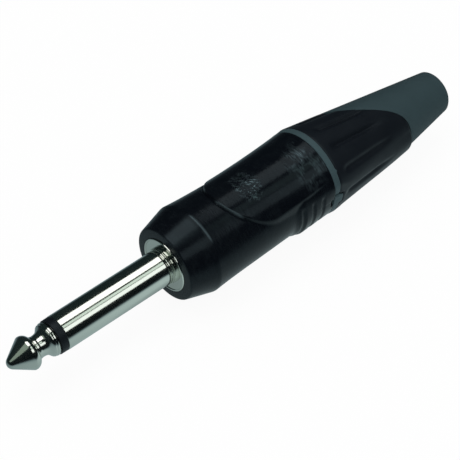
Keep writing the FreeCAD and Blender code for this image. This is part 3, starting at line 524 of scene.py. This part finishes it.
def metal_material(name, values, rough):
    """Turned or stamped bare metal with fine working marks and small stains."""
    material, tree, place = new_material(name)
    marks = noise(tree, place, 3000.0, 3.0)
    stain = noise(tree, place, 600.0, 4.0)
    stained = [value * 0.85 for value in values]
    gloss = ranged(tree, stain, 0.0, 1.0, rough - 0.08, rough + 0.08)
    shader = node(tree, "ShaderNodeBsdfPrincipled", {"Metallic": 1.0},
                  {"Base Color": tinted(tree, stain, stained, values), "Roughness": gloss,
                   "Normal": bumped(tree, marks, 0.1, 0.00001)})
    close_material(tree, shader)
    return material


class PLUG_OT_shell(Operator):
    """Die-cast shell with nose cone, waist, finger ribs, raised panel and an internal thread"""
    bl_idname = "plug.shell"
    bl_label = "Shell"

    def execute(self, context):
        sizes, colours = context.scene.plug_sizes, context.scene.plug_colours
        rear, edge = sizes.shell_length, 0.12
        # Close steps at the front edge, the crease, the panel's front and the ribs
        places = [0.0, 0.02, 0.06, 0.11, 0.17, 0.24, 0.3, 0.9, 2.0, 3.2, 4.2, 4.7] + run(4.9, 0.1, 9)
        places += [6.0, 6.8, 7.8, 8.8, 9.6, 10.2]
        places += run(10.5, 0.12, 76) + run(19.6, 0.3, 12) + run(23.2, 0.13, 67)
        places = [place for place in places if place < rear - edge - 0.001]
        places += [rear - edge, rear - edge / 2, rear - edge / 6, rear]
        bore, thread_root, thread_end = 6.35, 6.9, rear - 8.5
        face_hole, face_back = 5.14, 1.6
        thread = [place for place in run(rear - 0.4, -THREAD_STEP, 57) if place > thread_end + 0.1]
        corners = [(0.0, face_hole)] + [(place, DRUM) for place in places] + [(rear, 7.05)]
        corners += [(place, thread_root) for place in thread] + [(thread_end, thread_root)]
        corners += [(thread_end, bore), (face_back, bore), (face_back, face_hole)]
        mesh = wire(corners)
        spin(mesh, sizes.columns)
        painted_light, panel = mesh.verts.layers.float.new("painted_light"), mesh.verts.layers.float.new("panel")
        for vert in mesh.verts:
            along, radius, angle = polar(vert)
            if radius > DRUM - 1:
                radius = shell_radius(sizes, along, angle)
                # Painted highlights on the nose, crease and lip, and the front face's painted reflection
                vert[painted_light] = self.painted_light_at(sizes, along, radius, angle)
                if math.cos(angle) > 0 and along > 10.9:
                    outside = outline_distance(along, radius * abs(math.sin(angle)))
                    vert[panel] = 1 - smooth_step(outside, -0.4, 0.0)
                recess = between(math.degrees(angle), *RECESS)
                radius -= 0.5 * recess * smooth_step(along, rear - 0.75, rear - 0.5)
                put(vert, along, radius - edge_drop(rear - along, edge), angle)
            elif abs(radius - thread_root) < 0.05 and thread_end < along:
                put(vert, along, thread_radius(sizes, along, angle, 6.76, 0.34), angle)
            elif along < 0.001:
                # The front face's painted reflection
                vert[painted_light] = FACE_PAINTED_REFLECTION
        material = lacquer_material(colours)
        finish_piece(mesh, "die_cast_shell", "plug", material, ["shell"], 50)
        return {"FINISHED"}

    def painted_light_at(self, sizes, along, radius, angle):
        """Painted highlights on the nose, along its crease and on the panel's front lip, laid as rubbed
        lacquer only where the lamps show on them, and a painted reflection on the front face.
        """
        # Painted reflection of the pale floor on the front face
        face = FACE_PAINTED_REFLECTION * (1 - smooth_step(along, 0.0, 0.2))
        # Painted highlight on the nose cone's band under the overhead lamp
        nose = 0.08 * (1 - smooth_step(along, 4.6, 5.4)) * smooth_step(angle, -0.05, 0.1)
        nose *= 1 - smooth_step(angle, 0.3, 0.55)
        # Painted highlight along the crease, only on its lit side
        crease = 0.52 * bell(along - sizes.crease_at - 0.1 - 0.25 * angle, 0.15)
        crease *= smooth_step(angle, -0.02, 0.12) * (1 - smooth_step(angle, 0.62, 0.82))
        # Painted highlight on the panel's front lip, left out on the stretch where the lip is dark
        lip = 0.0
        if math.cos(angle) > 0 and along > 10.5:
            outside = outline_distance(along, radius * abs(math.sin(angle)))
            front = 1 - smooth_step(along, 12.6, 13.6)
            seen = smooth_step(angle, 0.02, 0.12) + smooth_step(-angle, 0.3, 0.45)
            lip = 0.45 * bell(outside + 0.06, 0.08) * front * seen
        return max(face, nose, crease, lip)


class PLUG_OT_shaft(Operator):
    """Turned sleeve with collar and flange, tip, and the black ring between them"""
    bl_idname = "plug.shaft"
    bl_label = "Shaft"

    def execute(self, context):
        sizes, colours = context.scene.plug_sizes, context.scene.plug_colours
        nickel = nickel_material(colours)
        shaft = sizes.shaft_radius
        swelling = [(-22.4, 2.1), (-22.4, shaft, 0.12), (-2.6, shaft), (-2.3, shaft + 0.004),
                    (-2.0, shaft + 0.015), (-1.7, shaft + 0.034), (-1.5, shaft + 0.05),
                    (-1.15, shaft + 0.05, 0.02), (-1.1, shaft - 0.1), (-0.95, shaft - 0.1)]
        collar = [(-0.95, 3.4, 0.04), (-0.54, 3.42, 0.02), (-0.5, 3.3, 0.01), (-0.46, 3.42, 0.02),
                  (-0.05, 3.44)]
        lip = [(-0.05, 4.72), (-0.12, 4.75), (-0.18, 4.8), (-0.22, 4.87), (-0.23, 4.94), (-0.2, 5.01),
               (-0.13, 5.06), (-0.01, 5.09), (1.6, 5.09)]
        flange = [(1.6, 6.3, 0.1), (3.6, 6.3, 0.1), (3.6, 3.2), (6.4, 3.2, 0.1), (6.4, 2.1)]
        sleeve = wire(swelling + collar + lip + flange)
        spin(sleeve, 192)
        finish_piece(sleeve, "nickel_sleeve", "plug", nickel, ["sleeve"], 35)
        tip = wire(self.tip_corners())
        spin(tip, 160)
        finish_piece(tip, "nickel_tip", "plug", nickel, ["tip"], 35)
        ring = wire([(-23.75, 1.13), (-23.75, 3.12, 0.05), (-22.4, 3.14, 0.04), (-22.4, 2.07),
                     (-20.9, 2.07), (-20.9, 1.13)])
        spin(ring, 128)
        material = moulded_material("black glass-filled nylon ring", colours.insulator, 0.42, 0.2, 0.15)
        finish_piece(ring, "front_ring", "plug", material, ["tip_insulator"], 35)
        return {"FINISHED"}

    def tip_corners(self):
        """Nose ball, cone, rounded crest, hollow neck, bell and flange, in turned steps."""
        corners = arc((-31.25, 0.0), 1.15, -90, -33.2, 8)
        corners += arc((-28.52, 2.5), 0.55, -33, 0, 4)
        corners += arc((-28.52, 1.8), 1.25, 0, 80, 11)[1:]
        corners += arc((-26.5, 3.04), 1.1, 202, 176, 8)
        corners += [(-26.2, 1.955), (-25.95, 1.99), (-25.7, 2.05), (-25.45, 2.18), (-25.25, 2.38),
                    (-25.05, 2.62), (-24.87, 2.82), (-24.72, 2.9), (-24.6, 2.88)]
        corners += arc((-24.22, 2.62), 0.4, -50, 65, 8)
        corners += [(-23.8, 2.72), (-23.75, 2.72), (-23.75, 1.13), (-26.98, 1.13), (-26.98, 0.0)]
        return corners


class PLUG_OT_ring(Operator):
    """Thin grey coding ring with the tab that keys it to the boot"""
    bl_idname = "plug.ring"
    bl_label = "Coding ring"

    def execute(self, context):
        sizes, colours = context.scene.plug_sizes, context.scene.plug_colours
        front, rear = sizes.shell_length + 0.02, sizes.ring_end - 0.02
        edge, bore = 0.1, 6.65
        places = [front + edge * share for share in (0.0, 0.15, 0.5, 1.0)]
        places += [front + (rear - front) * share for share in (0.25, 0.5, 0.75)]
        places += [rear - edge * share for share in (1.0, 0.5, 0.15, 0.0)]
        mesh = wire([(front, bore)] + [(place, DRUM) for place in places] + [(rear, bore)])
        spin(mesh, sizes.columns)
        for vert in mesh.verts:
            along, radius, angle = polar(vert)
            if radius > DRUM - 1:
                degrees = math.degrees(angle)
                tab = between(degrees, *TAB)
                nub, slit = bell(degrees - NUB, 1.3), bell(degrees - SLIT, 1.2)
                radius = self.surface(sizes, along, angle) + 0.06 * tab - 0.55 * slit
                radius -= edge_drop(min(along - front, rear - along), edge)
                back = smooth_step(along, front + 0.3, rear)
                put(vert, along + (0.75 * tab + 0.28 * nub) * back, radius, angle)
        material = moulded_material("grey nylon", colours.ring, 0.5, 0.25, 0.12)
        finish_piece(mesh, "grey_coding_ring", "boot", material, ["coding_ring"], 40)
        return {"FINISHED"}

    def surface(self, sizes, along, angle):
        """The ring carries the shell's section on to the boot."""
        shell = shell_radius(sizes, min(along, sizes.shell_length - 0.2), angle)
        boot = core_surface(sizes, sizes.ring_end, angle)
        share = smooth_step(along, sizes.shell_length - 0.3, sizes.ring_end + 0.4)
        return shell + (boot - shell) * share - 0.02


class PLUG_OT_boot(Operator):
    """Hard black front of the boot, with its thread, flutes and the tube that goes on under the rubber"""
    bl_idname = "plug.boot"
    bl_label = "Boot"

    def execute(self, context):
        sizes, colours = context.scene.plug_sizes, context.scene.plug_colours
        front = sizes.ring_end
        # The skin is spun to this place and then drawn in to the seam.
        spun_end, steps = 60, 84
        neck_front, neck, thread_top = sizes.shell_length - 8.2, 6.3, 6.5
        corners = [(neck_front, 5.6), (neck_front, neck)]
        corners += [(place, thread_top) for place in run(neck_front + 0.3, THREAD_STEP, 54)]
        corners += [(front - 1.0, neck), (front, neck)]
        corners += [(front + (spun_end - front) * step / steps, DRUM) for step in range(steps + 1)]
        corners += [(54.6, 5.05), (54.0, 5.0), (54.0, CABLE_BORE), (43.5, CABLE_BORE), (43.5, 4.75),
                    (34.8, 5.6)]
        mesh = wire(corners)
        spin(mesh, sizes.columns)
        seams = {}
        for vert in mesh.verts:
            along, radius, angle = polar(vert)
            if radius > DRUM - 1:
                key = round(angle, 4)
                if key not in seams:
                    seams[key] = seam_at(sizes, angle)
                share = (along - front) / (spun_end - front)
                place = front + (seams[key] - front) * share
                radius = core_surface(sizes, place, angle)
                radius -= 0.8 * edge_drop(seams[key] - place, 0.3) + edge_drop(place - front, 0.1)
                notch = between(math.degrees(angle), *NOTCH)
                radius -= 0.7 * notch * (1 - smooth_step(place - front, 0.8, 1.05))
                put(vert, place, radius, angle)
            elif abs(radius - thread_top) < 0.05:
                put(vert, along, thread_radius(sizes, along, angle, 6.27, 0.33), angle)
        material = moulded_material("black glass-filled nylon", colours.nylon, 0.42, 0.22, 0.12)
        finish_piece(mesh, "fluted_boot", "boot", material, ["boot_core"], 45)
        return {"FINISHED"}


class PLUG_OT_gland(Operator):
    """Grey rubber gland moulded round the back of the boot, down to the cable mouth"""
    bl_idname = "plug.gland"
    bl_label = "Gland"

    def execute(self, context):
        sizes, colours = context.scene.plug_sizes, context.scene.plug_colours
        # The skin is spun from this place and then drawn back to the seam.
        start, end, steps = 40.0, sizes.boot_end, 44
        bore = 5.1
        corners = [(start, bore)]
        corners += [(start + (end - start) * step / steps, DRUM) for step in range(steps + 1)]
        corners += [(end, CABLE_BORE), (54.05, CABLE_BORE), (54.05, 5.02)]
        mesh = wire(corners)
        spin(mesh, 256)
        for vert in mesh.verts:
            along, radius, angle = polar(vert)
            if radius > DRUM - 1 or along < start + 0.01:
                seam = seam_at(sizes, angle) + 0.02
                share = (along - start) / (end - start)
                spaced = 1 - (1 - share) ** 1.5
                place = seam + (end - seam) * spaced
                if radius > DRUM - 1:
                    # The near flank is a little fuller at the seam and slimmer at the mouth.
                    flank = between(math.degrees(angle), 50, 170, 40)
                    radius = grip_surface(sizes, place) + 0.14 * flank * (1 - (place - 50) / (end - 50) * 2)
                    radius -= edge_drop(end - place, 0.3) + 0.12 * math.exp(-(place - seam) / 0.15)
                else:
                    radius = bore
                put(vert, place, radius, angle)
        material = moulded_material("grey thermoplastic rubber", colours.rubber, 0.58, 0.3, 0.15)
        finish_piece(mesh, "rubber_gland", "boot", material, ["boot_grip"], 40)
        return {"FINISHED"}


class PLUG_OT_insides(Operator):
    """Finishes of the rod, lugs, washers, carrier, liner and chuck inside the plug"""
    bl_idname = "plug.insides"
    bl_label = "Insides"

    def execute(self, context):
        colours = context.scene.plug_colours
        white = moulded_material("white acetal", colours.white_acetal, 0.4, 0.2, 0.08, 0.03)
        tin = metal_material("tinned brass sheet", colours.tin, 0.3)
        brass = metal_material("turned brass", colours.brass, 0.25)
        finishes = {
            "tip_rod": brass,
            "rod_insulator": white,
            "terminal_spacer": white,
            "sleeve_terminal": tin,
            "tip_terminal": tin,
            "rod_washer": brass,
            "insert_carrier": moulded_material("black nylon", colours.carrier_nylon, 0.4, 0.25, 0.1),
            "insulating_liner": white,
            "chuck": moulded_material("grey acetal", colours.grey_acetal, 0.4, 0.2, 0.08),
        }
        for name, material in finishes.items():
            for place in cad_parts[name].material_slots:
                place.material = material
        return {"FINISHED"}


class PLUG_OT_stage(Operator):
    """White floor, soft studio lamps, dark surround for the metal, and the camera"""
    bl_idname = "plug.stage"
    bl_label = "Stage"

    def execute(self, context):
        scene = context.scene
        scene.view_settings.view_transform = "Standard"
        self.make_floor(scene)
        self.make_world(scene)
        for lamp in LAMPS:
            self.make_lamp(*lamp)
        self.make_camera(scene)
        return {"FINISHED"}

    def make_floor(self, scene):
        mesh = bmesh.new()
        bmesh.ops.create_circle(mesh, cap_ends=True, segments=96, radius=FLOOR_RADIUS)
        bmesh.ops.translate(mesh, verts=mesh.verts[:], vec=(0, 0, scene.plug_sizes.floor_height * MILLIMETRE))
        data = bpy.data.meshes.new("floor")
        mesh.to_mesh(data)
        mesh.free()
        floor = bpy.data.objects.new("floor", data)
        scene.collection.objects.link(floor)
        material, tree, place = new_material("white studio paper")
        path = node(tree, "ShaderNodeLightPath").outputs
        # The camera sees the paper as nearly pure white.
        paper = node(tree, "ShaderNodeBsdfDiffuse", {"Color": (0.9, 0.9, 0.9, 1.0)})
        seen = node(tree, "ShaderNodeEmission", {"Color": (1.0, 1.0, 1.0, 1.0), "Strength": 1.0})
        plain = mixed(tree, maths(tree, "MULTIPLY", path["Is Camera Ray"], 0.94), paper, seen)
        # Reflected, it's a painted pool of light round the plug that falls off into the dark, with a painted
        # shadow underneath.
        flat = node(tree, "ShaderNodeVectorMath", {"operation": "MULTIPLY", 1: (1.0, 1.0, 0.0)},
                    {0: place}).outputs[0]
        near = spot(tree, flat, (0.02, -0.018, 0.0), (0.2, 0.1, 1.0))
        fall = node(tree, "ShaderNodeValToRGB", links={"Fac": near})
        ramp = fall.color_ramp
        for position, code in FLOOR_TONES:
            stop = ramp.elements.new(position)
            stop.color = rgba(hex_colour(code))
        ramp.elements.remove(ramp.elements[0])
        ramp.elements[-1].color = rgba(hex_colour(FLOOR_MIDDLE))
        # A painted shadow under the plug dims the reflected floor
        shade = spot(tree, flat, (0.012, 0.002, 0.0), (0.03, 0.014, 1.0))
        strength = ranged(tree, shade, 0.0, 0.5, 1.0, 0.6)
        reflected = node(tree, "ShaderNodeEmission",
                         links={"Color": fall.outputs["Color"], "Strength": strength})
        mirrored = maths(tree, "MAXIMUM", path["Is Glossy Ray"], path["Is Transmission Ray"])
        close_material(tree, mixed(tree, mirrored, plain, reflected))
        floor.data.materials.append(material)

    def make_world(self, scene):
        world = bpy.data.worlds.new("studio")
        scene.world = world
        world.use_nodes = True
        tree = world.node_tree
        tree.nodes.clear()
        path = node(tree, "ShaderNodeLightPath").outputs
        ambient = node(tree, "ShaderNodeBackground", {"Color": (0.52, 0.52, 0.52, 1.0), "Strength": 1.0})
        ray = node(tree, "ShaderNodeTexCoord").outputs["Generated"]
        aside = node(tree, "ShaderNodeSeparateXYZ", links={0: ray}).outputs["Y"]
        walls = tinted(tree, ranged(tree, aside, 0.1, -0.5), hex_colour(ROOM_FAR), hex_colour(ROOM_NEAR))
        room = node(tree, "ShaderNodeBackground", {"Strength": 1.0}, {"Color": walls})
        white = node(tree, "ShaderNodeBackground", {"Color": (1.0, 1.0, 1.0, 1.0), "Strength": 1.0})
        indoors = mixed(tree, path["Is Glossy Ray"], ambient, room)
        shown = mixed(tree, path["Is Camera Ray"], indoors, white)
        node(tree, "ShaderNodeOutputWorld", links={"Surface": shown.outputs[0]})

    def make_lamp(self, name, around, along, radiance, tint):
        """A softbox that faces the plug, from a row of LAMPS."""
        turn, tilt = math.radians(around[0]), math.radians(along[0])
        away = Vector((math.cos(tilt), -math.sin(tilt) * math.sin(turn), math.sin(tilt) * math.cos(turn)))
        round_it = Vector((0.0, -math.cos(turn), -math.sin(turn)))
        data = bpy.data.lights.new(name, "AREA")
        data.shape = "RECTANGLE"
        data.size = 2 * LAMP_DISTANCE * math.tan(math.radians(around[1]) / 2)
        data.size_y = 2 * LAMP_DISTANCE * math.tan(math.radians(along[1]) / 2)
        data.color = tint
        data.energy = radiance * data.size * data.size_y * math.pi
        lamp = bpy.data.objects.new(name, data)
        lamp.matrix_world = Matrix.Translation(away * LAMP_DISTANCE) @ Matrix(
            (round_it, away.cross(round_it), away)).transposed().to_4x4()
        bpy.context.scene.collection.objects.link(lamp)

    def make_camera(self, scene):
        data = bpy.data.cameras.new("camera")
        data.lens = CAMERA_LENS
        data.sensor_width = 36.0
        camera = bpy.data.objects.new("camera", data)
        ahead, right = Vector(CAMERA_AHEAD).normalized(), Vector(CAMERA_RIGHT).normalized()
        upward = right.cross(ahead)
        turn = Matrix((right, upward, -ahead)).transposed().to_4x4()
        camera.matrix_world = Matrix.Translation(Vector(CAMERA_PLACE)) @ turn
        scene.collection.objects.link(camera)
        scene.camera = camera


class PLUG_PT_pieces(Panel):
    bl_idname = "PLUG_PT_pieces"
    bl_label = "Jack plug"
    bl_space_type = "VIEW_3D"
    bl_region_type = "UI"
    bl_category = "Jack plug"

    def draw(self, context):
        layout = self.layout
        for kind in PIECES:
            layout.operator(kind.bl_idname)
        for group in (context.scene.plug_sizes, context.scene.plug_colours):
            box = layout.box()
            for name in group.bl_rna.properties.keys():
                if name not in ("rna_type", "name"):
                    box.prop(group, name)


PIECES = (PLUG_OT_stage, PLUG_OT_shell, PLUG_OT_shaft, PLUG_OT_ring, PLUG_OT_boot, PLUG_OT_gland,
          PLUG_OT_insides)
CLASSES = (PlugSizes, PlugColours) + PIECES + (PLUG_PT_pieces,)


def register():
    for kind in CLASSES:
        bpy.utils.register_class(kind)
    bpy.types.Scene.plug_sizes = PointerProperty(type=PlugSizes)
    bpy.types.Scene.plug_colours = PointerProperty(type=PlugColours)


def unregister():
    del bpy.types.Scene.plug_colours
    del bpy.types.Scene.plug_sizes
    for kind in reversed(CLASSES):
        bpy.utils.unregister_class(kind)


def main():
    register()
    bpy.ops.plug.stage()
    bpy.ops.plug.shell()
    bpy.ops.plug.shaft()
    bpy.ops.plug.ring()
    bpy.ops.plug.boot()
    bpy.ops.plug.gland()
    bpy.ops.plug.insides()


if __name__ == "__main__":
    main()
